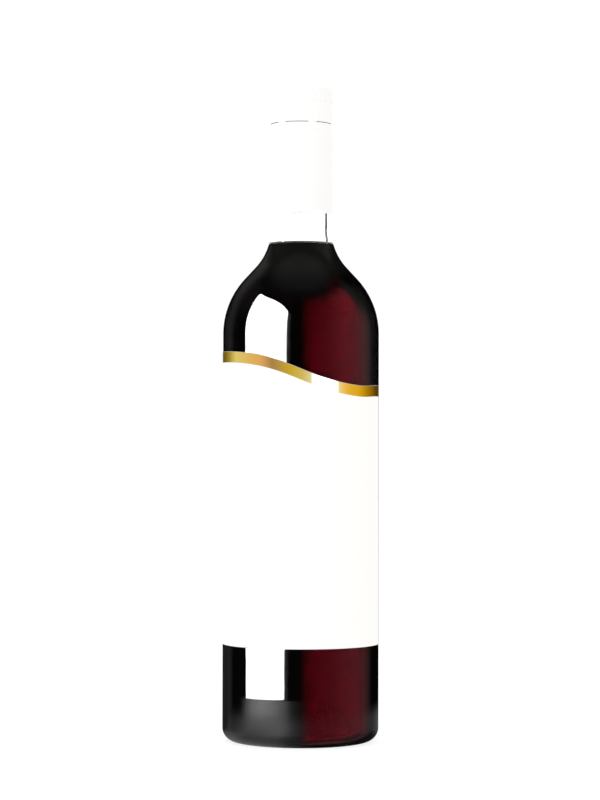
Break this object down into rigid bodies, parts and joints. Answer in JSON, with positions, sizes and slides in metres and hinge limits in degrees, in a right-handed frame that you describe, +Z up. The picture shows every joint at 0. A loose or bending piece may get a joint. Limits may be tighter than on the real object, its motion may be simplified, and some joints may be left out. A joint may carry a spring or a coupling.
{
  "type": "wine bottle",
  "caption": "Clear glass wine bottle with high shoulders and a long screw cap, full of dark red wine, with a tall white wavy-topped label edged in gold.",
  "frame": {"origin": "centre of the base, on the surface that the bottle stands on", "axes": "+Z up along the bottle's axis from base to cap, -Y out of the front of the label, +X to the right seen from the front"},
  "size_m": [0.0755, 0.0755, 0.3137],
  "materials": {
    "flint_glass": "clear, fire-polished",
    "red_wine": "clear liquid, nearly black where it is deep",
    "white_lacquer": "satin white lacquer on drawn aluminium",
    "label_paper": "matt, uncoated and lightly felt-marked",
    "gold_foil": "hot-stamped gold foil, satin"
  },
  "bodies": {
    "root": {"bottle_glass": "flint_glass", "red_wine": "red_wine", "screw_cap": "white_lacquer", "label_paper": "label_paper", "gold_band": "gold_foil"}
  },
  "joints": []
}
